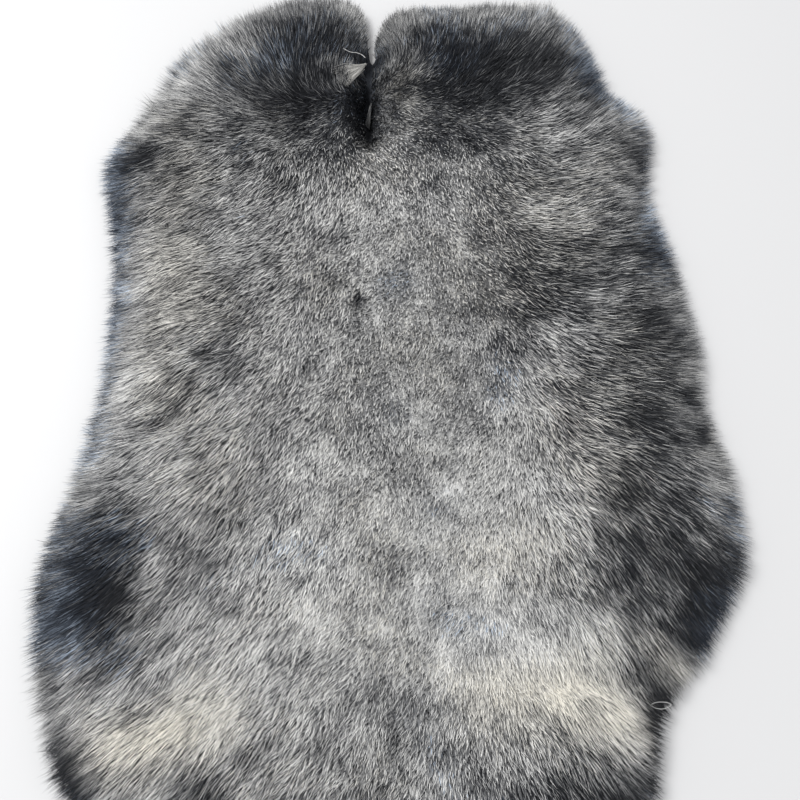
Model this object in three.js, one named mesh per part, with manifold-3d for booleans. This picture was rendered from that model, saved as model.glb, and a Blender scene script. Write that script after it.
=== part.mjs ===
// Rabbit skin pelt laid flat, fur side up: the tanned skin and the fur that grows on it.
// Millimetres, +Z up, +Y toward the neck. The flesh side of the skin rests on z = 0.
import * as THREE from "three";
import Module from "manifold-3d";

const solids = await Module();
solids.setup();
const { Manifold, Mesh: SolidMesh } = solids;

// Driving sizes
const PELT_WIDTH = 295;
const PELT_LENGTH = 413;
const SKIN_THICKNESS = 1.2;
const FUR_GAP = 0.3;
const PILE_HEIGHT = 21;

// The rim, where the fur rolls down over the edge of the skin
const RIM_HAIR = 13;
const RIM_ROLL = { width: 42, fullness: 2.2 };
const RIM_COLUMNS = 300;
const NOTCH_BLUR = { reach: 0.022, steps: 4 };
const DETAIL_FROM = 0.2;
const LOCK_DEPTH = { least: 2.5, most: 8 };
const LOCK_WANDER = 0.5;
const LOCK_STRAY = 2.5;
const LOCK_SWEEP = { atRump: -7, atNeck: 3, low: -100, high: 150 };
const TIP_LEVEL = { least: 0.7, most: 2.2 };
const VALLEY_LEVEL = 2.6;
const LEAST_PILE = 2.2;

// The line on the back that the hair radiates from; the slit of the neck runs up from near its head
const SPINE = { x: -12, head: 96, foot: -118 };
const SLIT = { x: -12.5, foot: 117, head: 172, gape: 2.6, share: 0.72, roll: { width: 13, fullness: 2 } };

// Left and right edge of the fur at stations along the length, from the neck to the rump
const SIDES = [
  { y: 150, left: -114, right: 104 },
  { y: 138, left: -121, right: 119 },
  { y: 127, left: -129.5, right: 125 },
  { y: 112, left: -138.5, right: 123.5 },
  { y: 98, left: -139.5, right: 120.5 },
  { y: 80, left: -134.5, right: 123 },
  { y: 60, left: -130.5, right: 128 },
  { y: 35, left: -129, right: 133 },
  { y: 10, left: -129.5, right: 138 },
  { y: -12, left: -130, right: 136 },
  { y: -30, left: -133, right: 141 },
  { y: -50, left: -137, right: 146 },
  { y: -70, left: -144, right: 147.5 },
  { y: -90, left: -147.5, right: 144 },
  { y: -105, left: -146.5, right: 134 },
  { y: -120, left: -143.5, right: 124.5 },
  { y: -133, left: -140.5, right: 114 },
  { y: -144, left: -137, right: 106.5 },
  { y: -160, left: -131.5, right: 103.5 },
  { y: -175, left: -124, right: 101 },
];

// The plain end of the rump and the two lobes of the neck, each from left to right
const RUMP = [
  { x: -106, y: -190 },
  { x: -66, y: -202 },
  { x: -8, y: -206 },
  { x: 50, y: -203 },
  { x: 86, y: -192 },
];
const RIGHT_LOBE = [
  { x: -12, y: 168 },
  { x: -8.5, y: 184 },
  { x: -2, y: 200 },
  { x: 24, y: 203 },
  { x: 56, y: 202.5 },
  { x: 80, y: 201 },
  { x: 91, y: 187 },
  { x: 101, y: 165 },
];
const LEFT_LOBE = [
  { x: -110, y: 165 },
  { x: -100, y: 176.5 },
  { x: -82, y: 191.5 },
  { x: -58, y: 203 },
  { x: -35, y: 207 },
  { x: -19.5, y: 205 },
  { x: -16, y: 187 },
];

// Folds of the whole pelt: the skin lifts off the floor under them
const FOLDS = [
  { place: "left hind ridge", x: -92, y: -155, along: 42, across: 13, turn: 12, rise: 5 },
  { place: "right hind ridge", x: 66, y: -146, along: 46, across: 15, turn: -8, rise: 4.5 },
  { place: "left flank swell", x: -112, y: -40, along: 50, across: 16, turn: 80, rise: 3 },
  { place: "right flank swell", x: 118, y: -62, along: 40, across: 16, turn: 98, rise: 3.5 },
  { place: "left neck swell", x: -62, y: 168, along: 34, across: 20, turn: 20, rise: 3 },
  { place: "right neck swell", x: 45, y: 165, along: 36, across: 18, turn: 0, rise: 3 },
];

// The skin lies flat on the floor wherever its folds would lift it by less than this
const FLAT_BELOW = 0.8;

// Fullness of the pile alone: swells and hollows of the fur over a flat skin
const PILE_FORM = [
  { place: "back", x: 20, y: -20, along: 120, across: 60, turn: 90, rise: 3 },
  { place: "left whorl", x: -41, y: 117, along: 18, across: 13, turn: 0, rise: -3.5 },
  { place: "right whorl", x: 23, y: 124, along: 20, across: 12, turn: 10, rise: -3.5 },
  { place: "right shoulder crease", x: 96, y: 45, along: 62, across: 9, turn: 94, rise: -4.5 },
  { place: "left haunch hollow", x: -118, y: -93, along: 30, across: 20, turn: 70, rise: -4 },
  { place: "right haunch hollow", x: 100, y: -92, along: 36, across: 16, turn: 60, rise: -3 },
  { place: "right waist nick", x: 127, y: -12, along: 10, across: 6, turn: 0, rise: -7 },
  { place: "right hind nick", x: 102, y: -142, along: 11, across: 6, turn: 20, rise: -7 },
  { place: "left hind hollow", x: -112, y: -172, along: 26, across: 10, turn: -30, rise: -4 },
  { place: "back parting", x: -15, y: 29, along: 7, across: 4, turn: 70, rise: -3.5 },
  { place: "rump parting", x: 2, y: -168, along: 60, across: 12, turn: 90, rise: -2.5 },
];

// Tufts of the pile: they lie outward near the rim and down the back in the middle
const TUFT = { across: 9, along: 26, rise: 1.9, warp: 0.9, stagger: 61 };
const BACK_TUFT = { across: 11, along: 22, rise: 1.1 };
const BACK_EDGE = { near: 45, far: 85 };
const WAVE = { size: 48, rise: 1.5 };

// Rings of the rim: inset from the tips in mm, and how deep the valleys between the locks are there
const RIM_RINGS = [
  { inset: 3.5, valley: 0.42 },
  { inset: 8, valley: 0.26 },
  { inset: 13.5, valley: 0.13 },
  { inset: 20, valley: 0.04 },
];

// Rings further in: their number, and how many points the outermost and the innermost have
const TOP_RINGS = { count: 18, outer: 230, inner: 84, start: 26 };
const SKIN_RINGS = { count: 8, outer: 156, inner: 56, start: RIM_HAIR };
const CORE_SHARE = 0.035;
const FINE_COLUMNS = 800;

const LEATHER_LOOK = { color: 0xd8cab2, roughness: 0.85, metalness: 0 };
const FUR_LOOK = { color: 0x77787a, roughness: 0.95, metalness: 0 };

const { lerp, smoothstep } = THREE.MathUtils;

// Noise cells in a direction that never comes round again
const FREE = 1000;

// A repeatable number from 0 to 1 for a pair of whole numbers
function chance(a, b) {
  const v = Math.sin(a * 127.1 + b * 311.7 + 17.3) * 43758.5453;
  return v - Math.floor(v);
}

function wrap(n, cells) {
  return n - cells * Math.floor(n / cells);
}

// Smooth noise from -1 to 1 that comes round again after so many cells each way
function noise(a, b, roundA, roundB) {
  const i = Math.floor(a);
  const j = Math.floor(b);
  const corner = (m, n) => chance(wrap(m, roundA), wrap(n, roundB)) * 2 - 1;
  const p = smoothstep(a - i, 0, 1);
  const q = smoothstep(b - j, 0, 1);
  return lerp(lerp(corner(i, j), corner(i + 1, j), p), lerp(corner(i, j + 1), corner(i + 1, j + 1), p), q);
}

// The edge of the fur, seen from above, once round from the foot of the neck notch by the left side
function rimCurve() {
  const left = SIDES.map((s) => ({ x: s.left, y: s.y }));
  const right = SIDES.map((s) => ({ x: s.right, y: s.y }));
  const rows = [LEFT_LOBE.toReversed(), left, RUMP, right.toReversed(), RIGHT_LOBE.toReversed()].flat();
  const points = rows.map((r) => new THREE.Vector3(r.x, r.y, 0));
  const span = new THREE.Box3().setFromPoints(points).getSize(new THREE.Vector3());
  const fit = new THREE.Vector3(PELT_WIDTH / span.x, PELT_LENGTH / span.y, 1);
  for (const p of points) p.multiply(fit);
  const curve = new THREE.CatmullRomCurve3(points, true, "centripetal");
  curve.arcLengthDivisions = 1600;
  return curve;
}

const RIM = rimCurve();
const RIM_LENGTH = RIM.getLength();
const RIM_SAMPLES = RIM.getSpacedPoints(FINE_COLUMNS);

// The place on the rim a share u of the way round
function rimAt(u) {
  const turn = (u - Math.floor(u)) * FINE_COLUMNS;
  const i = Math.floor(turn);
  return RIM_SAMPLES[i].clone().lerp(RIM_SAMPLES[i + 1], turn - i);
}

// The rim with its notch and bumps smoothed away, for the inner rings
function smoothRimAt(u) {
  const { reach, steps } = NOTCH_BLUR;
  const sum = new THREE.Vector3();
  for (let k = -steps; k <= steps; k += 1) sum.add(rimAt(u + (k / steps) * reach));
  return sum.divideScalar(2 * steps + 1);
}

// A column runs from the spine to the rim at u; share 0 is its root and 1 its rim
function column(u) {
  const smooth = smoothRimAt(u);
  const root = new THREE.Vector3(SPINE.x, THREE.MathUtils.clamp(smooth.y, SPINE.foot, SPINE.head), 0);
  const rim = rimAt(u);
  const length = rim.distanceTo(root);
  const at = (share) => {
    const detail = smoothstep(share, DETAIL_FROM, 1);
    const x = lerp(root.x, lerp(smooth.x, rim.x, detail), share);
    const y = lerp(root.y, lerp(smooth.y, rim.y, detail), share);
    return { x, y, u };
  };
  return { at, length };
}

// Where the lock column number i meets the rim: even, but for a little wandering
function lockPlace(i) {
  return (i + LOCK_WANDER * (chance(i, 1) - 0.5)) / RIM_COLUMNS;
}

const FINE = Array.from({ length: FINE_COLUMNS }, (_, i) => column(i / FINE_COLUMNS));

// A ring of points at one inset from the rim, on the lock columns; odd ones are locks, even ones valleys
function rimRing({ inset, valley }) {
  const ring = [];
  for (let i = 0; i < RIM_COLUMNS; i += 1) {
    const c = column(lockPlace(i));
    ring.push({ ...c.at(1 - inset / c.length), inset, sink: i % 2 === 1 ? 0 : valley });
  }
  return ring;
}

// The same ring with its points spaced evenly along itself; `depth` 0 is the start inset and 1 the core
function evenRing(start, depth, count) {
  const dense = FINE.map((c) => c.at(lerp(1 - start / c.length, CORE_SHARE, depth)));
  const lengths = [0];
  dense.forEach((p, i) => {
    const q = dense[(i + 1) % dense.length];
    lengths.push(lengths[i] + Math.hypot(q.x - p.x, q.y - p.y));
  });
  const ring = [];
  let i = 0;
  for (let k = 0; k < count; k += 1) {
    const goal = (k / count) * lengths[dense.length];
    while (lengths[i + 1] < goal) i += 1;
    const f = (goal - lengths[i]) / (lengths[i + 1] - lengths[i]);
    const p = dense[i];
    const q = dense[(i + 1) % dense.length];
    ring.push({ x: lerp(p.x, q.x, f), y: lerp(p.y, q.y, f), u: (i + f) / dense.length });
  }
  return ring;
}

function evenRings({ count, outer, inner, start }) {
  const rings = [];
  for (let k = 0; k <= count; k += 1) {
    rings.push(evenRing(start, k / count, Math.round(lerp(outer, inner, k / count))));
  }
  return rings;
}

const SKIN_GRID = evenRings(SKIN_RINGS);

// Height added at a place by a table of swells and hollows
function formHeight(table, x, y) {
  let sum = 0;
  for (const f of table) {
    const turn = THREE.MathUtils.degToRad(f.turn);
    const dx = x - f.x;
    const dy = y - f.y;
    const a = (dx * Math.cos(turn) + dy * Math.sin(turn)) / f.along;
    const b = (dy * Math.cos(turn) - dx * Math.sin(turn)) / f.across;
    sum += f.rise * Math.exp(-a * a - b * b);
  }
  return sum;
}

// Where the flesh side of the skin is: flat on the floor but for its folds
function fleshLevel(x, y) {
  const lift = formHeight(FOLDS, x, y) - FLAT_BELOW;
  return Math.max(lift, 0);
}

function rimDistance(x, y) {
  let best = Infinity;
  for (const p of RIM_SAMPLES) best = Math.min(best, Math.hypot(p.x - x, p.y - y));
  return best;
}

function slitDistance(x, y) {
  const over = Math.max(y - SLIT.head, SLIT.foot - y, 0);
  return Math.hypot(x - SLIT.x, over);
}

// How full the pile is: 0 at an edge, 1 from the roll's width inward
function roll(distance, { width, fullness }) {
  return 1 - Math.pow(1 - Math.min(distance / width, 1), fullness);
}

// Unevenness of the pile at a place: soft waves, and tufts along the lay of the hair
function unevenness(p, edge) {
  const wave = noise((p.x + p.y) / WAVE.size, (p.y - p.x) / WAVE.size, FREE, FREE);
  const around = Math.floor(RIM_LENGTH / TUFT.across);
  const depth = edge / TUFT.along + TUFT.warp * wave + TUFT.stagger * p.u;
  const outward = noise(p.u * around, depth, around, TUFT.stagger);
  const down = noise(p.x / BACK_TUFT.across + wave, (p.y + p.x / 2) / BACK_TUFT.along, FREE, FREE);
  const back = smoothstep(edge, BACK_EDGE.near, BACK_EDGE.far);
  return WAVE.rise * wave + lerp(TUFT.rise * outward, BACK_TUFT.rise * down, back);
}

function pileTop(p) {
  const edge = Math.min(p.inset ?? Infinity, rimDistance(p.x, p.y));
  const slit = 1 - SLIT.share * (1 - roll(slitDistance(p.x, p.y), SLIT.roll));
  const full = PILE_HEIGHT + formHeight(PILE_FORM, p.x, p.y) + unevenness(p, edge);
  const pile = full * roll(edge, RIM_ROLL) * slit * (1 - (p.sink ?? 0));
  return fleshLevel(p.x, p.y) + SKIN_THICKNESS + Math.max(pile, LEAST_PILE);
}

// A mesh under construction: points, and triangles as triples of their numbers
function newMesh() {
  return { points: [], triangles: [] };
}

function addRing(mesh, ring, level) {
  const first = mesh.points.length;
  for (const p of ring) mesh.points.push([p.x, p.y, level(p)]);
  return ring.map((p, i) => ({ id: first + i, u: p.u }));
}

function addTriangle(mesh, a, b, c, up) {
  mesh.triangles.push(up ? [a, b, c] : [a, c, b]);
}

// The band between an outer and an inner ring, whatever their numbers of points
function addBand(mesh, outer, inner, up) {
  const id = (ring, i) => ring[i % ring.length].id;
  const next = (ring, i) => (i + 1 < ring.length ? ring[i + 1].u : ring[(i + 1) % ring.length].u + 1);
  let i = 0;
  let j = 0;
  while (i < outer.length || j < inner.length) {
    if (j >= inner.length || (i < outer.length && next(outer, i) <= next(inner, j))) {
      addTriangle(mesh, id(outer, i), id(outer, i + 1), id(inner, j), up);
      i += 1;
    } else {
      addTriangle(mesh, id(outer, i), id(inner, j + 1), id(inner, j), up);
      j += 1;
    }
  }
}

// The long narrow hole inside the last ring, closed by rungs from its left side to its right
function addCore(mesh, ring, up) {
  const y = (i) => mesh.points[ring[i].id][1];
  let left = 0;
  let right = ring.length - 1;
  while (right - left > 1) {
    if (y(left + 1) >= y(right - 1)) {
      addTriangle(mesh, ring[left].id, ring[left + 1].id, ring[right].id, up);
      left += 1;
    } else {
      addTriangle(mesh, ring[left].id, ring[right - 1].id, ring[right].id, up);
      right -= 1;
    }
  }
}

// A face of rings from the outside in, closed over the core
function addFace(mesh, rings, level, up) {
  const added = rings.map((ring) => addRing(mesh, ring, level));
  for (let k = 1; k < added.length; k += 1) addBand(mesh, added[k - 1], added[k], up);
  addCore(mesh, added[added.length - 1], up);
  return added[0];
}

function namedMesh(name, points, triangles, look) {
  const geometry = new THREE.BufferGeometry();
  geometry.setAttribute("position", new THREE.Float32BufferAttribute(points.flat(), 3));
  geometry.setIndex(triangles.flat());
  geometry.computeVertexNormals();
  const mesh = new THREE.Mesh(geometry, new THREE.MeshStandardMaterial(look));
  mesh.name = name;
  return mesh;
}

// The slit that a furrier leaves at the neck: a thin wedge, open at its head
function slitWedge() {
  const reach = SLIT.head + RIM_HAIR;
  const plan = [
    [SLIT.x, SLIT.foot],
    [SLIT.x + SLIT.gape, reach],
    [SLIT.x - SLIT.gape, reach],
  ];
  return Manifold.extrude([plan], PILE_HEIGHT).translate([0, 0, -PILE_HEIGHT / 2]);
}

function skin() {
  const mesh = newMesh();
  const top = addFace(mesh, SKIN_GRID, (p) => fleshLevel(p.x, p.y) + SKIN_THICKNESS, true);
  const flesh = addFace(mesh, SKIN_GRID, (p) => fleshLevel(p.x, p.y), false);
  addBand(mesh, flesh, top, true);
  const solid = new Manifold(
    new SolidMesh({
      numProp: 3,
      vertProperties: new Float32Array(mesh.points.flat()),
      triVerts: new Uint32Array(mesh.triangles.flat()),
    }),
  );
  const cut = solid.subtract(slitWedge()).getMesh();
  const points = [];
  for (let i = 0; i < cut.numVert; i += 1) points.push([...cut.position(i)]);
  const triangles = [];
  for (let i = 0; i < cut.numTri; i += 1) triangles.push([...cut.verts(i)]);
  return namedMesh("skin", points, triangles, LEATHER_LOOK);
}

// How far round the rim a lock's tip is swept from its root: toward the rump low down, up at the neck
function sweepAt(u) {
  const step = 1 / FINE_COLUMNS;
  const tangent = rimAt(u + step).sub(rimAt(u)).normalize();
  const up = smoothstep(rimAt(u).y, LOCK_SWEEP.low, LOCK_SWEEP.high);
  return (lerp(LOCK_SWEEP.atRump, LOCK_SWEEP.atNeck, up) * tangent.y) / RIM_LENGTH;
}

// The outermost ring of the fur: tips of the locks, and valleys between them
function lockRing() {
  const ring = [];
  for (let i = 0; i < RIM_COLUMNS; i += 1) {
    const tip = i % 2 === 1;
    const u = lockPlace(i);
    const c = column(u + sweepAt(u));
    const short = tip ? LOCK_STRAY * chance(i, 5) : lerp(LOCK_DEPTH.least, LOCK_DEPTH.most, chance(i, 3));
    const level = tip ? lerp(TIP_LEVEL.least, TIP_LEVEL.most, chance(i, 9)) : VALLEY_LEVEL;
    ring.push({ ...c.at(1 - short / c.length), level });
  }
  return ring;
}

function fur() {
  const mesh = newMesh();
  const rim = addRing(mesh, lockRing(), (p) => p.level);
  const outer = RIM_RINGS.map(rimRing);
  const top = addFace(mesh, [...outer, ...evenRings(TOP_RINGS)], pileTop, true);
  addBand(mesh, rim, top, true);
  const under = addFace(mesh, SKIN_GRID, (p) => fleshLevel(p.x, p.y) + SKIN_THICKNESS + FUR_GAP, false);
  addBand(mesh, rim, under, false);
  return namedMesh("fur", mesh.points, mesh.triangles, FUR_LOOK);
}

const part = new THREE.Group();
part.name = "rabbit_pelt";
part.add(skin(), fur());

// The origin is under the middle of the pelt's box
const middle = new THREE.Box3().setFromObject(part).getCenter(new THREE.Vector3());
part.position.set(-middle.x, -middle.y, 0);
export default part;
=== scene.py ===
"""A rabbit skin pelt lying fur side up: tanned skin, dense under-wool, guard hair and a shaggy rim."""

import math
import random

import bmesh
import bpy
import numpy as np
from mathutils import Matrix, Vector, kdtree, noise
from mathutils.bvhtree import BVHTree


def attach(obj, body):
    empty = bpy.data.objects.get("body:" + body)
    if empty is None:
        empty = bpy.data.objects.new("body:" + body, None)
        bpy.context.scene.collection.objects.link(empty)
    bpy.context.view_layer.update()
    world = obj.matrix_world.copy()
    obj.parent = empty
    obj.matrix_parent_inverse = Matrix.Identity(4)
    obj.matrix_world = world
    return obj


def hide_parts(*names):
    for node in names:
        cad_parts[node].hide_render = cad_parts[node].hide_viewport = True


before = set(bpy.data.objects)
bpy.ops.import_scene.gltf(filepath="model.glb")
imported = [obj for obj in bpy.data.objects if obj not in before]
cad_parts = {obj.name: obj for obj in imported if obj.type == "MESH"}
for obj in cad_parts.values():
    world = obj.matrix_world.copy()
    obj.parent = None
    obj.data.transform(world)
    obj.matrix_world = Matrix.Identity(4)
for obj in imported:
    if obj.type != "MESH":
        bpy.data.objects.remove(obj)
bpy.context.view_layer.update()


# The view: a camera held over the pelt, a little toward its rump, so that the rump runs out of the frame.
EYE = (0.0029, -0.1305, 0.3661)
TILT = math.radians(18)
FIELD = math.radians(50)
NEAREST_SEEN = 0.01


def new_object(name, data):
    """An object with this data, placed in the scene."""
    made = bpy.data.objects.new(name, data)
    bpy.context.scene.collection.objects.link(made)
    return made


camera = new_object("camera", bpy.data.cameras.new("camera"))
camera.location = EYE
camera.rotation_euler = (TILT, 0, 0)
camera.data.sensor_fit = "HORIZONTAL"
camera.data.angle = FIELD
camera.data.clip_start = NEAREST_SEEN
bpy.context.scene.camera = camera


# The place it is shown in: a plain pale floor just under the pelt, a soft lamp from the upper left and a
# larger, weak one opposite. Sizes in metres, power in watts.
FLOOR_HALF, FLOOR_LEVEL = 3, -0.0006
FLOOR_COLOUR, FLOOR_ROUGHNESS = (0.58, 0.58, 0.583), 0.6
LAMPS = [
    # name, place, size, power
    ("key_lamp", (-0.85, 0.35, 1.25), 0.6, 23.0),
    ("fill_lamp", (0.9, -0.5, 1.1), 1.4, 4.3),
]
ROOM_COLOUR, ROOM_STRENGTH = (0.98, 0.985, 1.0), 0.70


def new_material(name, roughness, specular=0.5):
    """A new material, its node tree, and the surface node that takes its colour."""
    material = bpy.data.materials.new(name)
    material.use_nodes = True
    surface = material.node_tree.nodes["Principled BSDF"]
    surface.inputs["Roughness"].default_value = roughness
    surface.inputs["Specular IOR Level"].default_value = specular
    return material, material.node_tree, surface


bpy.context.scene.view_settings.view_transform = "Standard"

pale_floor, _, surface = new_material("pale_floor", FLOOR_ROUGHNESS)
surface.inputs["Base Color"].default_value = (*FLOOR_COLOUR, 1)
floor_mesh = bpy.data.meshes.new("floor")
floor_ends = ((-1, -1), (1, -1), (1, 1), (-1, 1))
floor_corners = [(x * FLOOR_HALF, y * FLOOR_HALF, FLOOR_LEVEL) for x, y in floor_ends]
floor_mesh.from_pydata(floor_corners, [], [(0, 1, 2, 3)])
floor_mesh.materials.append(pale_floor)
floor = new_object("floor", floor_mesh)

for name, place, size, power in LAMPS:
    lamp = new_object(name, bpy.data.lights.new(name, "AREA"))
    lamp.data.size = size
    lamp.data.energy = power
    lamp.location = place
    lamp.rotation_euler = (-Vector(place)).to_track_quat("-Z", "Y").to_euler()

room = bpy.data.worlds.new("room")
room.use_nodes = True
daylight = room.node_tree.nodes["Background"]
daylight.inputs["Color"].default_value = (*ROOM_COLOUR, 1)
daylight.inputs["Strength"].default_value = ROOM_STRENGTH
bpy.context.scene.world = room


# The skin: one piece of tanned rabbit skin, about 1.2 mm thick, flesh side down, slit at the neck.
# It is softly puckered all over, pale, veined and napped like suede.
SKIN_CUTS = 1
PUCKER, PUCKER_WAVE = 0.00012, 0.006
LEATHER_ROUGHNESS, LEATHER_SHINE = 0.85, 0.25
LEATHER_TONES = [(0.3, (0.52, 0.40, 0.26)), (0.7, (0.78, 0.69, 0.54))]
NAP_GRAIN, CLOUD_GRAIN, VEIN_GRAIN = 900, 22, 26
VEIN_SHARE, VEIN_WIDTH, VEIN_TONE = 0.35, 0.08, 0.72
NAP_STRENGTH, NAP_DEPTH = 0.5, 0.0004


def merged_copy(node, name):
    """A CAD node's mesh as a new piece, with its loose triangles joined."""
    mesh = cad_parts[node].data.copy()
    mesh.name = name
    mesh.materials.clear()
    build = bmesh.new()
    build.from_mesh(mesh)
    bmesh.ops.remove_doubles(build, verts=build.verts, dist=1e-5)
    build.to_mesh(mesh)
    build.free()
    for layer in [*mesh.uv_layers]:
        mesh.uv_layers.remove(layer)
    return new_object(name, mesh)


def places(mesh):
    found = np.empty(len(mesh.vertices) * 3)
    mesh.vertices.foreach_get("co", found)
    return found.reshape(-1, 3)


def set_places(mesh, found):
    mesh.vertices.foreach_set("co", found.ravel())
    mesh.update()


def facings(mesh):
    found = np.empty(len(mesh.vertices) * 3, np.float32)
    mesh.vertex_normals.foreach_get("vector", found)
    return found.reshape(-1, 3).astype(float)


def wavy(found, size, seed):
    """Smooth noise, about -1 to 1, at each place, with waves of this size in metres."""
    shift = Vector((seed * 7.3, seed * 3.1, 0))
    return np.array([noise.noise(Vector(p) / size + shift) for p in found])


def add_node(tree, kind, values=None):
    """A new node with these values at its inputs."""
    node = tree.nodes.new(kind)
    for name, value in (values or {}).items():
        node.inputs[name].default_value = value
    return node


def set_ramp(node, stops):
    """Gives a colour ramp its stops, each a position and a colour."""
    elements = node.color_ramp.elements
    while len(elements) < len(stops):
        elements.new(0.5)
    for element, (position, colour) in zip(elements, stops):
        element.position = position
        element.color = (*colour, 1)


def link_all(tree, links):
    """Links nodes: each link is a node, its output, the next node and its input."""
    for giver, out, taker, into in links:
        tree.links.new(giver.outputs[out], taker.inputs[into])


skin = merged_copy("skin", "tanned_skin")
build = bmesh.new()
build.from_mesh(skin.data)
bmesh.ops.subdivide_edges(build, edges=build.edges, cuts=SKIN_CUTS)
bmesh.ops.triangulate(build, faces=build.faces)
build.to_mesh(skin.data)
build.free()
spots = places(skin.data)
spots[:, 2] += PUCKER * (1 + wavy(spots * (1, 1, 0), PUCKER_WAVE, seed=2))
set_places(skin.data, spots)

leather, tree, surface = new_material("tanned_leather", LEATHER_ROUGHNESS, LEATHER_SHINE)
place = add_node(tree, "ShaderNodeTexCoord")
nap = add_node(tree, "ShaderNodeTexNoise", {"Scale": NAP_GRAIN, "Detail": 4})
cloud = add_node(tree, "ShaderNodeTexNoise", {"Scale": CLOUD_GRAIN, "Detail": 5})
veins = add_node(tree, "ShaderNodeTexVoronoi", {"Scale": VEIN_GRAIN})
veins.feature = "DISTANCE_TO_EDGE"
leather_tone = add_node(tree, "ShaderNodeValToRGB")
set_ramp(leather_tone, LEATHER_TONES)
blend = add_node(tree, "ShaderNodeMix", {"Factor": VEIN_SHARE})
blend.data_type = "RGBA"
blend.blend_type = "MULTIPLY"
vein_tone = add_node(tree, "ShaderNodeMapRange", {"From Max": VEIN_WIDTH, "To Min": VEIN_TONE})
bump = add_node(tree, "ShaderNodeBump", {"Strength": NAP_STRENGTH, "Distance": NAP_DEPTH})
link_all(tree, [
    (place, "Object", nap, "Vector"),
    (place, "Object", cloud, "Vector"),
    (place, "Object", veins, "Vector"),
    (cloud, "Fac", leather_tone, "Fac"),
    (leather_tone, "Color", blend, "A"),
    (veins, "Distance", vein_tone, "Value"),
    (vein_tone, "Result", blend, "B"),
    (blend, "Result", surface, "Base Color"),
    (nap, "Fac", bump, "Height"),
    (bump, "Normal", surface, "Normal"),
])
skin.data.materials.append(leather)

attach(skin, "root")
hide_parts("skin")


# The under-wool bed: the closed mass of wool that the guard hair stands in, slate grey at its depth;
# its colour is darkened further as painted shade where it shows between the hair tips.
# It keeps the form of the fur solid, lower on top so that hair tips make the surface, and fuller at its rim.
BED_DROP, BED_DROP_SHARE = 0.0036, 0.35
RIM_FULLNESS = 0.0014
RIM_WIDTH = 0.020
RIM_RINGS, RIM_SMOOTHING = 2, 3
RIM_NEIGHBOURS = 9
TUFT_SIZE = 0.0085
TUFT_RISE = 0.0011

bed = merged_copy("fur", "under_wool_bed")
build = bmesh.new()
build.from_mesh(bed.data)
build.normal_update()
rim = []
for v in build.verts:
    slopes = [f.normal.z for f in v.link_faces]
    if min(slopes) < 0 < max(slopes):
        rim.append(v)
near_rim = set(rim)
for _ in range(RIM_RINGS):
    near_rim |= {e.other_vert(v) for v in near_rim for e in v.link_edges}
near_rim = sorted(near_rim, key=lambda v: v.index)
for _ in range(RIM_SMOOTHING):
    bmesh.ops.smooth_vert(
        build, verts=near_rim, factor=0.5, use_axis_x=True, use_axis_y=True, use_axis_z=True
    )
build.normal_update()
rim_places = [v.co.copy() for v in rim]
rim_outward = [Vector((v.normal.x, v.normal.y)).normalized() for v in rim]
bmesh.ops.subdivide_edges(build, edges=build.edges, cuts=1, use_grid_fill=True)
bmesh.ops.triangulate(build, faces=build.faces)
build.to_mesh(bed.data)
build.free()

rim_tree = kdtree.KDTree(len(rim_places))
for i, p in enumerate(rim_places):
    rim_tree.insert((p.x, p.y, 0), i)
rim_tree.balance()


def rim_facing(found):
    """For each place, its distance in from the rim, and the level direction out of the rim there."""
    inward, outward = np.empty(len(found)), np.empty((len(found), 2))
    for i, p in enumerate(found):
        near = rim_tree.find_n((p[0], p[1], 0), RIM_NEIGHBOURS)
        inward[i] = near[0][2]
        outward[i] = sum((rim_outward[n[1]] for n in near), Vector((0, 0))).normalized()
    return inward, outward


spots, faces = places(bed.data), facings(bed.data)
inward, outward = rim_facing(spots)
is_top = np.clip(faces[:, 2] * 3, 0, 1)
rim_share = np.clip(1 - inward / RIM_WIDTH, 0, 1)
spots[:, 2] -= is_top * np.minimum(BED_DROP, BED_DROP_SHARE * spots[:, 2])
spots[:, :2] += outward * (RIM_FULLNESS * rim_share**2)[:, None]
spots[:, 2] += is_top * TUFT_RISE * (1 - rim_share) * wavy(spots * (1, 1, 0), TUFT_SIZE, seed=5)
set_places(bed.data, spots)
bed.data.shade_smooth()
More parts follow.
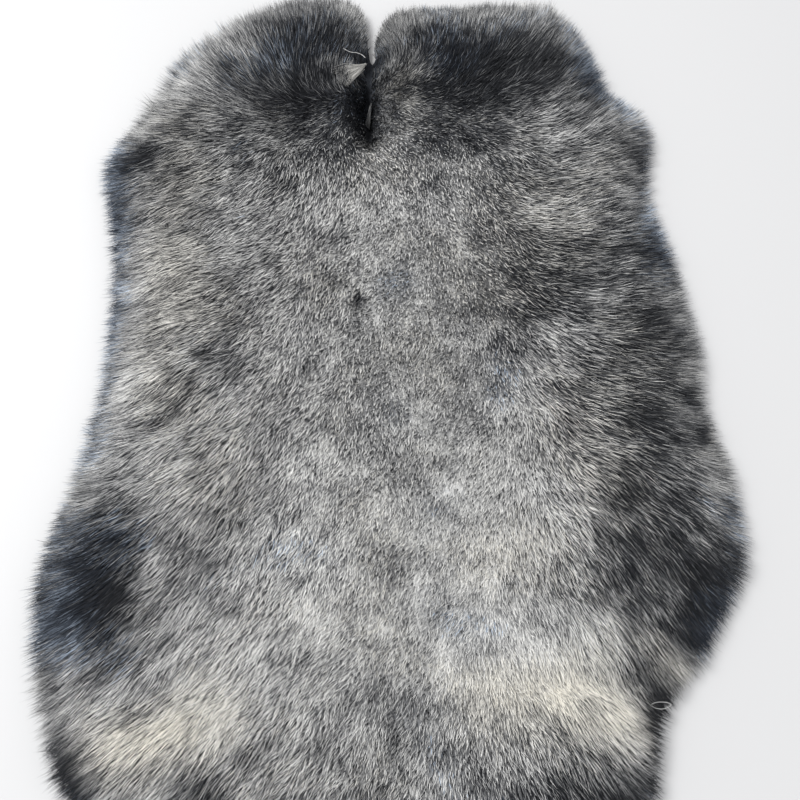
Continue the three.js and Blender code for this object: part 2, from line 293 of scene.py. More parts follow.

# How the fur is coloured: a base tone, then the markings painted one over the other as soft ellipses.
# Some ellipses are painted shade and light, not markings: the dark slit, nick, notches and crease, part of
# the dark at the left rim and the right haunch's edge, and the light and shade of the hind folds.
# Places and sizes in millimetres; along and across are where a marking has faded to a third of its strength.
# Tone 0 is black and 1 silver; warmth 0 is slate blue and 1 cream.
BASE_TONE = 0.5
TONES = [
    # place, x, y, along, across, turn, tone
    ("back", 3, -27, 128, 73, 90, 0.72),
    ("saddle", 8, -70, 62, 50, 90, 0.76),
    ("right of the back", 44, -78, 62, 25, 88, 0.87),
    ("right loin", 60, -113, 22, 20, 0, 0.86),
    ("right of the back, grey", 62, -93, 14, 10, 0, 0.64),
    ("middle", -10, -18, 38, 15, 90, 0.62),
    ("right of the middle", 38, 0, 28, 20, 70, 0.66),
    ("left of the back", -62, -84, 46, 26, 90, 0.60),
    ("middle of the back", -30, -90, 44, 17, 90, 0.82),
    ("left loin", -64, -136, 32, 24, 80, 0.84),
    ("loins", 2, -139, 14, 10, 0, 0.34),
    ("loins, pale", 14, -112, 26, 22, 0, 0.80),
    ("withers", -2, 60, 54, 40, 90, 0.71),
    ("left shoulder", -94, 93, 45, 25, 0, 0.43),
    ("left shoulder light", -66, 60, 26, 24, 0, 0.58),
    ("left shoulder band", -82, 2, 46, 9, 62, 0.44),
    ("left side", -107, 22, 60, 17, 90, 0.60),
    # The left rim is darker partly for the slate under-wool showing at the edge, partly as painted shade on
    # the rim's wall, which faces the lamp.
    ("left side, rim", -128, 52, 58, 8, 91, 0.12),
    ("left shoulder, rim", -119, 104, 17, 9, 50, 0.12),
    ("left lobe, inner", -38, 147, 36, 30, 90, 0.09),
    ("left lobe, top", -38, 173, 26, 15, 0, 0.10),
    ("left lobe, outer", -88, 147, 34, 24, 35, 0.35),
    ("left lobe, rim", -101, 150, 30, 8, 55, 0.60),
    ("right lobe", 44, 150, 58, 25, 4, 0.0),
    ("right lobe, inner", 15, 160, 18, 15, 70, 0.08),
    ("right lobe, rim", 52, 186, 70, 8, 0, 0.38),
    ("right lobe, corner", 94, 142, 12, 12, 0, 0.30),
    ("right of the slit", 1, 136, 30, 15, 90, 0.47),
    ("right whorl", 34, 112, 22, 12, 10, 0.22),
    # Painted shadow: the slit and its bare walls are darkened where the cut lies in shade, over the dark
    # hair there.
    ("slit", -18, 128, 26, 10, 78, 0.13),
    ("slit, walls", -12.7, 146, 28, 2.5, 90, 0.05),
    ("left whorl", -32, 121, 18, 8, 20, 0.16),
    ("under the left whorl", -44, 109, 18, 12, 0, 0.42),
    ("under the right whorl", 26, 88, 14, 11, 0, 0.42),
    ("right shoulder", 72, 92, 36, 30, 0, 0.45),
    ("right shoulder light", 48, 70, 22, 24, 0, 0.49),
    ("right shoulder band", 70, 34, 28, 22, 50, 0.23),
    ("right shoulder, corner", 113, 110, 12, 9, -60, 0.13),
    ("right haunch, flecks", 101, -118, 10, 7, 60, 0.14),
    # Painted shade: two small notches in the right edge, darker than black where they lie in shade.
    ("right side, gap", 125, -12, 5, 3.5, 80, -0.5),
    ("right side, lower gap", 129, -30, 5, 3, 60, -0.5),
    ("right side, tuft", 128, -61, 7, 4, 60, 0.68),
    ("right side", 113, 44, 56, 16, 86, 0.19),
    # Painted shade along a crease in the fur of the right side.
    ("right crease", 96, 27, 37, 5, 88, 0.26),
    ("right waist", 107, -34, 54, 20, 86, 0.17),
    ("right waist, inner", 82, -8, 30, 12, 82, 0.38),
    ("right flank", 112, -70, 28, 16, 86, 0.16),
    ("right rim streaks", 129, -60, 20, 8, 70, 0.42),
    # Dark fur and painted shade where the right haunch's edge falls away.
    ("right haunch, rim", 124, -98, 30, 18, 65, 0.03),
    ("right haunch", 92, -92, 24, 15, 60, 0.24),
    ("right haunch light", 80, -113, 12, 9, 0, 0.86),
    ("right hind band, end", 91, -148, 11, 7, -20, 0.98),
    ("right haunch, lower", 96, -123, 9, 6, 60, 0.26),
    ("right haunch streaks", 108, -122, 12, 7, -45, 0.62),
    ("left haunch", -118, -93, 30, 24, 70, 0.0),
    ("left haunch, edge", -108, -70, 16, 10, 80, 0.28),
    ("left haunch, inner", -98, -86, 15, 12, 75, -0.1),
    ("left flank", -92, -90, 24, 12, 84, 0.46),
    ("left flank light", -92, -50, 30, 13, 85, 0.66),
    ("left hind", -120, -124, 18, 12, 0, 0.42),
    ("left hind, pale", -112, -139, 22, 8, 25, 0.66),
    # The left hind ridge is a raised fold: its pale crest is cream hair and partly painted light on the
    # fold's top, and the dark ellipse under it is painted shadow beneath the fold.
    ("left hind ridge", -89, -150, 25, 6.5, 12, 0.96),
    ("left hind ridge, end", -77, -145, 12, 5, 15, 1.0),
    ("left hind corner", -113, -158, 8, 4, 60, 0.42),
    ("under the left ridge", -88, -170, 30, 8, 4, 0.56),
    ("under the left ridge, dark", -69, -168, 10, 7, 0, 0.10),
    ("left hind rim", -121, -164, 18, 9, -65, -0.1),
    # The right hind band is a raised fold too: its pale crest is partly painted light, and the dark ellipse
    # under it is painted shadow.
    ("right hind band", 56, -134, 44, 10, -4, 0.95),
    ("under the right band", 88, -171, 42, 12, 3, 0.08),
    ("rump", -30, -162, 36, 16, 10, 0.64),
    # Dark hair and painted shadow in the nick of the right hind edge.
    ("right hind nick", 103, -143, 14, 8, 80, -0.5),
    ("rump end", -12, -196, 103, 14, 0, 0.42),
    ("parting", -15, 30, 3.4, 1.6, 60, -0.2),
]
BASE_WARMTH = 0.38
WARMTHS = [
    # place, x, y, along, across, turn, warmth
    ("left side", -98, 30, 68, 20, 90, 0.72),
    ("right shoulder", 60, 60, 40, 26, 60, 0.62),
    ("right waist", 92, -30, 60, 24, 80, 0.58),
    ("lobes", 0, 165, 110, 30, 0, 0.22),
    ("right of the slit", 4, 140, 20, 9, 90, 0.80),
    ("left rim", -131, 45, 100, 16, 92, 0.0),
    ("left haunch", -124, -92, 34, 22, 70, 0.10),
    ("right lobe, corner", 98, 155, 40, 12, -60, 0.08),
    ("right shoulder, rim", 122, 80, 50, 9, 90, 0.10),
    ("right haunch, rim", 130, -98, 40, 16, 65, 0.12),
    ("left hind rim", -120, -165, 20, 10, -65, 0.05),
    ("left hind ridge", -92, -152, 30, 12, 12, 1.0),
    ("right hind band", 68, -138, 38, 13, -8, 1.0),
    ("right haunch streaks", 108, -122, 14, 9, -45, 0.95),
]
# How strongly dark and pale hairs are mixed
BASE_PEPPER = 1.10
PEPPERS = [
    # place, x, y, along, across, turn, pepper
    ("upper back", 8, 50, 95, 75, 90, 1.95),
    ("right of the middle", 60, 5, 60, 40, 90, 1.6),
    ("loins", 30, -115, 70, 34, 0, 0.85),
    ("right hind band", 64, -138, 44, 12, -6, 0.7),
    ("left hind", -92, -142, 50, 22, 20, 0.8),
    ("rump", 0, -165, 60, 14, 0, 1.25),
    ("left lobe", -80, 150, 45, 30, 0, 0.9),
    ("right lobe", 50, 155, 50, 30, 0, 0.9),
    ("left haunch", -120, -94, 30, 24, 70, 0.9),
    ("right flank", 102, -30, 70, 26, 86, 1.55),
    ("left hind, under the ridge", -95, -145, 50, 26, 0, 1.2),
    ("right hind", 60, -164, 60, 16, 0, 1.35),
]
MOTTLES = [
    # wave in metres, share of tone
    (0.0048, 0.20),
    (0.009, 0.19),
    (0.020, 0.15),
]
MOTTLE_SEED = 3
WARMTH_WAVE, WARMTH_STRAY = 0.03, 0.2


def painted(found, base, table):
    """The value at each place, with a table's ellipses painted over the base."""
    value = np.full(len(found), base)
    for _, x, y, along, across, turn, tone in table:
        dx, dy = found[:, 0] * 1000 - x, found[:, 1] * 1000 - y
        c, s = math.cos(math.radians(turn)), math.sin(math.radians(turn))
        share = np.exp(-(((dx * c + dy * s) / along) ** 2) - ((dy * c - dx * s) / across) ** 2)
        value += (tone - value) * share
    return value


# How the hair lies: directions at stations along the length, and across it from the left rim to the right,
# in degrees from +X, anticlockwise. It streams off the spine and down the back, and up and outward over
# the lobes.
STATIONS_ACROSS = [-0.127, -0.081, -0.035, 0.0, 0.035, 0.058, 0.081, 0.120]
LAY = [
    # y in mm, directions
    (172, (120, 130, 85, 92, 75, 50, 60, 40)),
    (149, (164, 144, 100, 320, 42, 28, 36, 34)),
    (126, (205, 191, 235, 305, 318, 337, 20, 8)),
    (103, (205, 232, 272, 295, 275, 300, 6, 25)),
    (80, (208, 226, 253, 278, 273, 320, 5, 8)),
    (57, (216, 220, 246, 262, 276, 308, 350, 7)),
    (34, (218, 219, 262, 254, 280, 298, 335, 3)),
    (12, (214, 225, 262, 257, 262, 297, 326, 5)),
    (-34, (208, 233, 255, 259, 236, 270, 319, 324)),
    (-80, (212, 241, 262, 245, 248, 271, 296, 308)),
    (-126, (230, 240, 236, 240, 262, 282, 290, 288)),
    (-172, (226, 226, 236, 249, 276, 297, 308, 310)),
    (-210, (226, 226, 236, 249, 276, 297, 308, 310)),
]
LAY_WANDER = math.radians(16)
LAY_WAVES = [
    # wave in metres, share of the wander, seed
    (0.022, 1.0, 11),
    (0.009, 0.6, 13),
]
# At the same stations across: the lean from upright in degrees, the length in mm, and how unruly it is.
LEAN = (70, 61, 46, 37, 40, 47, 60, 70)
LEAN_STRAY, LEAN_WAVE, MOST_LEAN = 4, 0.012, 72
LENGTH = (8.3, 6.5, 4.7, 3.5, 3.6, 4.8, 6.5, 8.3)
LENGTH_STRAY, LENGTH_WAVE = 0.15, 0.02
FLATTER = [
    # place, x, y, along, across, turn, times the lean
    ("nape", 5, 88, 70, 32, 0, 1.55),
]
LONGER = [
    # place, x, y, along, across, turn, times the length
    ("left neck corner", -114, 138, 16, 12, 60, 1.45),
    ("left lobe, top", -50, 204, 44, 10, 8, 1.35),
    ("right lobe, top", 40, 202, 60, 8, 0, 1.2),
    ("left side", -130, 20, 90, 10, 90, 1.15),
    ("left hind", -140, -125, 44, 12, 105, 1.35),
]
UNRULY = (0.20, 0.22, 0.27, 0.27, 0.27, 0.25, 0.22, 0.20)
# Longer still toward each end: how much, how far from the middle it starts, and over what length it grows
RUMP_LONGER, NECK_LONGER = (0.08, 0.09, 0.08), (0.35, 0.13, 0.04)
# At the rim the hair turns outward. Along the slit it parts to both sides and a little down, and it is
# short in the notch at the slit's head.
RIM_PULL, RIM_PULL_WIDTH = 1.1, 0.015
SLIT_X, SLIT_FOOT, SLIT_HEAD = -0.0127, 0.1167, 0.172
SLIT_BARE = 0.0012
PARTING_WIDTH, PARTING_ASIDE, PARTING_DOWN = 0.012, 1.6, 0.9
PARTING_FOOT_FADE, PARTING_HEAD_FADE, PARTING_PAST_HEAD = 0.006, 0.012, 0.004
NOTCH_Y, NOTCH_ASIDE, NOTCH_ALONG, NOTCH_SHORTER = 0.178, 0.009, 0.018, 0.45
FACING_LIFT = 0.7
TINY = 1e-6


def at_stations(found, rows):
    """Values given at stations along the length and across it, read at each place."""
    ys = [row[0] / 1000 for row in rows][::-1]
    columns = []
    for k in range(len(STATIONS_ACROSS)):
        columns.append(np.interp(found[:, 1], ys, [row[1][k] for row in rows][::-1]))
    grid = np.stack(columns, 1)
    at = np.interp(found[:, 0], STATIONS_ACROSS, np.arange(len(STATIONS_ACROSS)))
    low = np.clip(np.floor(at).astype(int), 0, len(STATIONS_ACROSS) - 2)
    share = at - low
    row = np.arange(len(found))
    return grid[row, low] * (1 - share) + grid[row, low + 1] * share


def by_width(found, values):
    return np.interp(found[:, 0], STATIONS_ACROSS, values)


def lay_of(found, inward, outward):
    """The level direction in which the hair lies at each place."""
    parts = []
    for part_of in (math.cos, math.sin):
        rows = [(y, [part_of(math.radians(turn)) for turn in turns]) for y, turns in LAY]
        parts.append(at_stations(found, rows))
    turn = LAY_WANDER * sum(share * wavy(found * (1, 1, 0), size, seed) for size, share, seed in LAY_WAVES)
    c, s = np.cos(turn), np.sin(turn)
    flow = np.stack([parts[0] * c - parts[1] * s, parts[0] * s + parts[1] * c], 1)
    aside, along = found[:, 0] - SLIT_X, found[:, 1]
    past_foot = np.clip((along - SLIT_FOOT + PARTING_FOOT_FADE) / PARTING_FOOT_FADE, 0, 1)
    before_head = np.clip((SLIT_HEAD + PARTING_PAST_HEAD - along) / PARTING_HEAD_FADE, 0, 1)
    beside = np.clip(1 - np.abs(aside) / PARTING_WIDTH, 0, 1) * (past_foot * before_head)
    at_rim = np.clip(1 - inward / RIM_PULL_WIDTH, 0, 1) ** 1.5
    flow += outward * (RIM_PULL * (1 - beside) * at_rim)[:, None]
    flow += np.stack([np.sign(aside) * PARTING_ASIDE * beside, -PARTING_DOWN * beside], 1)
    return flow / np.maximum(np.linalg.norm(flow, axis=1), TINY)[:, None]


spots, faces = places(bed.data), facings(bed.data)
level = spots * (1, 1, 0)
inward, outward = rim_facing(spots)
tone = painted(spots, BASE_TONE, TONES)
for size, amount in MOTTLES:
    tone += amount * wavy(level, size, MOTTLE_SEED + amount)
tone = np.clip(tone, 0.0, 1.0)
warmth = painted(spots, BASE_WARMTH, WARMTHS) + WARMTH_STRAY * wavy(level, WARMTH_WAVE, seed=23)
warmth = np.clip(warmth, 0, 1)
lay = lay_of(spots, inward, outward)
lean = by_width(spots, LEAN) * painted(spots, 1.0, FLATTER) + LEAN_STRAY * wavy(level, LEAN_WAVE, seed=31)
lean = np.radians(np.minimum(lean, MOST_LEAN))
# Grown from a softened facing, so that hair on the rim's wall points outward and not at the floor
upward = faces + (0, 0, FACING_LIFT)
upward /= np.linalg.norm(upward, axis=1)[:, None]
lay3 = np.concatenate([lay, np.zeros((len(lay), 1))], 1)
along_skin = lay3 - upward * (lay3 * upward).sum(1)[:, None]
along_skin /= np.maximum(np.linalg.norm(along_skin, axis=1), TINY)[:, None]
growth = upward * np.cos(lean)[:, None] + along_skin * np.sin(lean)[:, None]
length = by_width(spots, LENGTH) / 1000 * (1 + LENGTH_STRAY * wavy(level, LENGTH_WAVE, seed=41))
longer = 1
for (more, start, over), outwards in ((RUMP_LONGER, -spots[:, 1]), (NECK_LONGER, spots[:, 1])):
    longer = longer + more * np.clip((outwards - start) / over, 0, 1)
length *= longer
length *= painted(spots, 1.0, LONGER)
notch = ((spots[:, 0] - SLIT_X) / NOTCH_ASIDE) ** 2 + ((spots[:, 1] - NOTCH_Y) / NOTCH_ALONG) ** 2
length *= 1 - NOTCH_SHORTER * np.exp(-notch)
to_slit = np.abs(spots[:, 0] - SLIT_X) + np.maximum(0, SLIT_FOOT - spots[:, 1])
hairy = np.clip(faces[:, 2] * 4 + 0.4, 0, 1) * np.where(to_slit < SLIT_BARE, 0.0, 1.0)


def store(mesh, name, kind, values):
    """Keeps a value or a vector at every point of the mesh."""
    part = "vector" if kind == "FLOAT_VECTOR" else "value"
    field = mesh.attributes.new(name, kind, "POINT")
    field.data.foreach_set(part, np.ascontiguousarray(values, np.float32).ravel())


store(bed.data, "tone", "FLOAT", tone)
store(bed.data, "pepper", "FLOAT", painted(spots, BASE_PEPPER, PEPPERS))
store(bed.data, "warmth", "FLOAT", warmth)
store(bed.data, "growth", "FLOAT_VECTOR", growth)
store(bed.data, "hair_length", "FLOAT", length)
store(bed.data, "hairy", "FLOAT", hairy)
store(bed.data, "unruly", "FLOAT", by_width(spots, UNRULY))
store(bed.data, "rim", "FLOAT", inward)


# The colour of a rabbit hair: slate at the root, then its band and tip, from black through grey to silver.
# The tint says which hair it is, the place along it runs from 0 at the root to 1 at the tip.
# The cast runs with the warmth, from slate blue through neutral to cream.
TIP_COLOURS = [
    (0.0, (0.006, 0.0068, 0.009)),
    (0.25, (0.056, 0.059, 0.066)),
    (0.5, (0.30, 0.303, 0.307)),
    (0.75, (0.68, 0.68, 0.675)),
    (1.0, (0.93, 0.93, 0.915)),
]
ROOT_COLOURS = [
    (0.0, (0.004, 0.0045, 0.006)),
    (0.25, (0.024, 0.026, 0.031)),
    (0.5, (0.15, 0.153, 0.16)),
    (0.75, (0.42, 0.423, 0.426)),
    (1.0, (0.70, 0.70, 0.70)),
]
CASTS = [
    (0.0, (0.80, 0.93, 1.12)),
    (0.33, (1.0, 0.995, 0.985)),
    (0.67, (1.0, 0.978, 0.93)),
    (1.0, (1.0, 0.965, 0.89)),
]
ROOT_ENDS = 0.45
HAIR_ROUGHNESS, HAIR_SHINE = 0.7, 0.2
WOOL_ROUGHNESS, WOOL_SHINE = 0.9, 0.15
WOOL_GRAIN, WOOL_BUMP, WOOL_BUMP_DEPTH = 700, 0.6, 0.0008
# Darkening of the wool's tint: partly its slate colour at depth, partly painted shade in the gaps between
# hair tips.
WOOL_DARKENING_AND_SHADE = 0.72
WOOL_DEPTHS = {"From Min": 0.3, "From Max": 0.7, "To Min": 0.1, "To Max": 0.5}


def hair_colour_group():
    group = bpy.data.node_groups.new("rabbit_hair_colour", "ShaderNodeTree")
    for name in ("Tint", "Along", "Warmth"):
        socket = group.interface.new_socket(name=name, in_out="INPUT", socket_type="NodeSocketFloat")
        socket.min_value, socket.max_value = 0.0, 1.0
    group.interface.new_socket(name="Colour", in_out="OUTPUT", socket_type="NodeSocketColor")
    given, result = add_node(group, "NodeGroupInput"), add_node(group, "NodeGroupOutput")
    tip, root, cast = [add_node(group, "ShaderNodeValToRGB") for _ in range(3)]
    set_ramp(tip, TIP_COLOURS)
    set_ramp(root, ROOT_COLOURS)
    set_ramp(cast, CASTS)
    fade = add_node(group, "ShaderNodeMapRange", {"From Min": 0.0, "From Max": ROOT_ENDS})
    fade.interpolation_type = "SMOOTHSTEP"
    banded = add_node(group, "ShaderNodeMix")
    banded.data_type = "RGBA"
    warmed = add_node(group, "ShaderNodeMix", {"Factor": 1.0})
    warmed.data_type = "RGBA"
    warmed.blend_type = "MULTIPLY"
    link_all(group, [
        (given, "Tint", tip, "Fac"),
        (given, "Tint", root, "Fac"),
        (given, "Warmth", cast, "Fac"),
        (given, "Along", fade, "Value"),
        (fade, "Result", banded, "Factor"),
        (root, "Color", banded, "A"),
        (tip, "Color", banded, "B"),
        (banded, "Result", warmed, "A"),
        (cast, "Color", warmed, "B"),
        (warmed, "Result", result, "Colour"),
    ])
    return group


HAIR_COLOUR = hair_colour_group()


def hair_coloured(name, roughness, shine):
    """A material coloured by the hair colour; gives it, its node tree, its surface and the colour node."""
    material, tree, surface = new_material(name, roughness, shine)
    colour = add_node(tree, "ShaderNodeGroup")
    colour.node_tree = HAIR_COLOUR
    link_all(tree, [(colour, "Colour", surface, "Base Color")])
    return material, tree, surface, colour


def reader_of(tree, field):
    """A node that reads a value kept at the points of the mesh."""
    reader = add_node(tree, "ShaderNodeAttribute")
    reader.attribute_name = field
    return reader


wool, tree, surface, colour = hair_coloured("under_wool", WOOL_ROUGHNESS, WOOL_SHINE)
place = add_node(tree, "ShaderNodeTexCoord")
fibre = add_node(tree, "ShaderNodeTexNoise", {"Scale": WOOL_GRAIN, "Detail": 3})
# The tone is darkened as painted shade between the hair tips, over the wool's slate depth.
darker = add_node(tree, "ShaderNodeMath")
darker.operation = "MULTIPLY"
darker.inputs[1].default_value = WOOL_DARKENING_AND_SHADE
depth = add_node(tree, "ShaderNodeMapRange", WOOL_DEPTHS)
bump = add_node(tree, "ShaderNodeBump", {"Strength": WOOL_BUMP, "Distance": WOOL_BUMP_DEPTH})
link_all(tree, [
    (place, "Object", fibre, "Vector"),
    (fibre, "Fac", depth, "Value"),
    (reader_of(tree, "tone"), "Fac", darker, 0),
    (darker, "Value", colour, "Tint"),
    (depth, "Result", colour, "Along"),
    (reader_of(tree, "warmth"), "Fac", colour, "Warmth"),
    (fibre, "Fac", bump, "Height"),
    (bump, "Normal", surface, "Normal"),
])
bed.data.materials.append(wool)

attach(bed, "root")
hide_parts("fur")


# The hair: tapered locks of a few hairs that stick together, rooted in the under-wool.
# Each kind is grown over the bed by one node tree, as densely as its share of the place's tone says.
WARMTH_STEPS = 3.0
STEP_STRAY = 0.4
DARKEST_TINT, PALEST_TINT = 0.03, 0.97
PALE_FROM = 0.8
LENGTH_UNIT = 0.010
SHORTEST, LONGEST = 0.8, 1.2
LOWEST_TIP, MOST_RISE = 0.0012, 0.95
SPIKE_RADIUS = 0.577
CHART_SIDE, CHART_FOOT, CHART_LENGTH, CHART_START = 0.0026, 0.03, 0.86, 0.05


def hair_tree():
    tree = bpy.data.node_groups.new("hair_growth", "GeometryNodeTree")
    face = tree.interface
    face.new_socket(name="Bed", in_out="INPUT", socket_type="NodeSocketGeometry")
    for name in (
        "Density", "Pale Share", "Dark Share", "Rim From", "Rim To", "Length", "Width", "Sunk",
        "Scatter", "Lift", "Darkest", "Lightest", "Spread In Dark", "Spread In Pale",
    ):
        face.new_socket(name=name, in_out="INPUT", socket_type="NodeSocketFloat")
    face.new_socket(name="Seed", in_out="INPUT", socket_type="NodeSocketInt")
    face.new_socket(name="Material", in_out="INPUT", socket_type="NodeSocketMaterial")
    face.new_socket(name="Hair", in_out="OUTPUT", socket_type="NodeSocketGeometry")
    nodes, links = tree.nodes, tree.links
    given, result = nodes.new("NodeGroupInput"), nodes.new("NodeGroupOutput")

    def put(socket, value):
        if isinstance(value, bpy.types.NodeSocket):
            links.new(value, socket)
        else:
            socket.default_value = value

    def math_of(operation, *values, clamp=False):
        node = nodes.new("ShaderNodeMath")
        node.operation = operation
        node.use_clamp = clamp
        for socket, value in zip(node.inputs, values):
            put(socket, value)
        return node.outputs[0]

    def vector_of(operation, *values):
        node = nodes.new("ShaderNodeVectorMath")
        node.operation = operation
        for socket, value in zip(node.inputs, values):
            put(socket, value)
        return node.outputs["Value" if operation in ("LENGTH", "DOT_PRODUCT") else "Vector"]

    def scaled(vector, factor):
        node = nodes.new("ShaderNodeVectorMath")
        node.operation = "SCALE"
        put(node.inputs["Vector"], vector)
        put(node.inputs["Scale"], factor)
        return node.outputs["Vector"]

    def field(name, kind="FLOAT"):
        node = nodes.new("GeometryNodeInputNamedAttribute")
        node.data_type = kind
        node.inputs["Name"].default_value = name
        return node.outputs["Attribute"]

    def random_of(low, high, offset):
        node = nodes.new("FunctionNodeRandomValue")
        node.data_type = "FLOAT"
        put(node.inputs[2], low)
        put(node.inputs[3], high)
        put(node.inputs["Seed"], math_of("ADD", given.outputs["Seed"], float(offset)))
        return node.outputs[1]

    def keep(geometry, name, value, kind="FLOAT", domain="POINT"):
        node = nodes.new("GeometryNodeStoreNamedAttribute")
        node.data_type = kind
        node.domain = domain
        node.inputs["Name"].default_value = name
        put(node.inputs["Geometry"], geometry)
        put(node.inputs["Value"], value)
        return node.outputs["Geometry"]

    # Where a hair of this kind grows
    tone, rim = field("tone"), field("rim")
    share = math_of(
        "ADD",
        math_of("MULTIPLY", tone, given.outputs["Pale Share"]),
        math_of("MULTIPLY", math_of("SUBTRACT", 1.0, tone), given.outputs["Dark Share"]),
    )
    fade = nodes.new("ShaderNodeMapRange")
    put(fade.inputs["Value"], rim)
    put(fade.inputs["From Min"], given.outputs["Rim From"])
    put(fade.inputs["From Max"], given.outputs["Rim To"])
    amount = math_of("MULTIPLY", share, field("hairy"), clamp=True)
    amount = math_of("MULTIPLY", amount, fade.outputs["Result"])
    scatter = nodes.new("GeometryNodeDistributePointsOnFaces")
    scatter.distribute_method = "RANDOM"
    put(scatter.inputs["Mesh"], given.outputs["Bed"])
    put(scatter.inputs["Density"], math_of("MULTIPLY", amount, given.outputs["Density"]))
    put(scatter.inputs["Seed"], given.outputs["Seed"])

    # Its tint, its warmth in even steps, and its size
    spread = nodes.new("ShaderNodeMapRange")
    put(spread.inputs["Value"], tone)
    spread.inputs["From Max"].default_value = PALE_FROM
    put(spread.inputs["To Min"], given.outputs["Spread In Dark"])
    put(spread.inputs["To Max"], given.outputs["Spread In Pale"])
    stray_tint = random_of(given.outputs["Darkest"], given.outputs["Lightest"], 1)
    stray_tint = math_of("MULTIPLY", stray_tint, spread.outputs["Result"])
    stray_tint = math_of("MULTIPLY", stray_tint, field("pepper"))
    tint = math_of("MAXIMUM", math_of("ADD", tone, stray_tint), DARKEST_TINT)
    points = keep(scatter.outputs["Points"], "tint", math_of("MINIMUM", tint, PALEST_TINT))
    step = math_of("MULTIPLY", field("warmth"), WARMTH_STEPS)
    step = math_of("ADD", step, random_of(-STEP_STRAY, STEP_STRAY, 3))
    step = math_of("MINIMUM", math_of("MAXIMUM", math_of("ROUND", step), 0.0), WARMTH_STEPS)
    points = keep(points, "warmth", math_of("DIVIDE", step, WARMTH_STEPS))
    size = math_of("DIVIDE", field("hair_length"), LENGTH_UNIT)
    size = math_of("MULTIPLY", size, random_of(SHORTEST, LONGEST, 2))
    points = keep(points, "size", size)

    # The way it points: as the hair lies, a little astray, and never through what the pelt lies on
    stray = nodes.new("FunctionNodeRandomValue")
    stray.data_type = "FLOAT_VECTOR"
    stray.inputs[0].default_value = (-1, -1, -1)
    stray.inputs[1].default_value = (1, 1, 1)
    put(stray.inputs["Seed"], math_of("ADD", given.outputs["Seed"], 7.0))
    lifted = nodes.new("ShaderNodeCombineXYZ")
    put(lifted.inputs["Z"], given.outputs["Lift"])
    astray = scaled(stray.outputs[0], math_of("MULTIPLY", field("unruly"), given.outputs["Scatter"]))
    way = vector_of("ADD", field("growth", "FLOAT_VECTOR"), astray)
    way = vector_of("ADD", way, lifted.outputs["Vector"])
    split = nodes.new("ShaderNodeSeparateXYZ")
    links.new(vector_of("NORMALIZE", way), split.inputs["Vector"])
    here = nodes.new("GeometryNodeInputPosition")
    root = nodes.new("ShaderNodeSeparateXYZ")
    links.new(here.outputs["Position"], root.inputs["Vector"])
    reach = math_of("MULTIPLY", given.outputs["Length"], size)
    shown = math_of("MULTIPLY", reach, math_of("SUBTRACT", 1.0, given.outputs["Sunk"]))
    least_rise = math_of("DIVIDE", math_of("SUBTRACT", LOWEST_TIP, root.outputs["Z"]), shown)
    rise = math_of("MINIMUM", math_of("MAXIMUM", split.outputs["Z"], least_rise), MOST_RISE)
    level_share = math_of("SQRT", math_of("SUBTRACT", 1.0, math_of("MULTIPLY", rise, rise)))
    flat = nodes.new("ShaderNodeCombineXYZ")
    links.new(split.outputs["X"], flat.inputs["X"])
    links.new(split.outputs["Y"], flat.inputs["Y"])
    climb = nodes.new("ShaderNodeCombineXYZ")
    links.new(rise, climb.inputs["Z"])
    flat_way = scaled(vector_of("NORMALIZE", flat.outputs["Vector"]), level_share)
    points = keep(points, "way", vector_of("ADD", flat_way, climb.outputs["Vector"]), "FLOAT_VECTOR")
    sunk = nodes.new("GeometryNodeSetPosition")
    put(sunk.inputs["Geometry"], points)
    depth = math_of("MULTIPLY", field("size"), given.outputs["Length"])
    depth = math_of("MULTIPLY", depth, given.outputs["Sunk"])
    put(sunk.inputs["Offset"], scaled(field("way", "FLOAT_VECTOR"), math_of("MULTIPLY", depth, -1.0)))

    # One lock: a closed spike of three sides, a flat one upward
    spike = nodes.new("GeometryNodeMeshCone")
    spike.fill_type = "NGON"
    spike.inputs["Vertices"].default_value = 3
    spike.inputs["Radius Top"].default_value = 0
    put(spike.inputs["Radius Bottom"], math_of("MULTIPLY", given.outputs["Width"], SPIKE_RADIUS))
    put(spike.inputs["Depth"], given.outputs["Length"])
    apart = nodes.new("ShaderNodeSeparateXYZ")
    links.new(here.outputs["Position"], apart.inputs["Vector"])
    along = math_of("DIVIDE", apart.outputs["Z"], given.outputs["Length"])
    lock = keep(spike.outputs["Mesh"], "along", along)
    side = math_of("DIVIDE", math_of("ARCTAN2", apart.outputs["Y"], apart.outputs["X"]), math.pi)
    lock = keep(lock, "side", side)
    rolled = nodes.new("GeometryNodeTransform")
    put(rolled.inputs["Geometry"], lock)
    rolled.inputs["Rotation"].default_value = (0, 0, math.radians(-30))
    plant = nodes.new("GeometryNodeInstanceOnPoints")
    put(plant.inputs["Points"], sunk.outputs["Geometry"])
    put(plant.inputs["Instance"], rolled.outputs["Geometry"])
    turn = nodes.new("FunctionNodeAxesToRotation")
    turn.primary_axis = "Z"
    turn.secondary_axis = "Y"
    put(turn.inputs["Primary Axis"], field("way", "FLOAT_VECTOR"))
    turn.inputs["Secondary Axis"].default_value = (0, 0, -1)
    put(plant.inputs["Rotation"], turn.outputs["Rotation"])
    shape = nodes.new("ShaderNodeCombineXYZ")
    put(shape.inputs["X"], 1.0)
    put(shape.inputs["Y"], 1.0)
    put(shape.inputs["Z"], field("size"))
    links.new(shape.outputs["Vector"], plant.inputs["Scale"])
    grown = nodes.new("GeometryNodeRealizeInstances")
    put(grown.inputs["Geometry"], plant.outputs["Instances"])

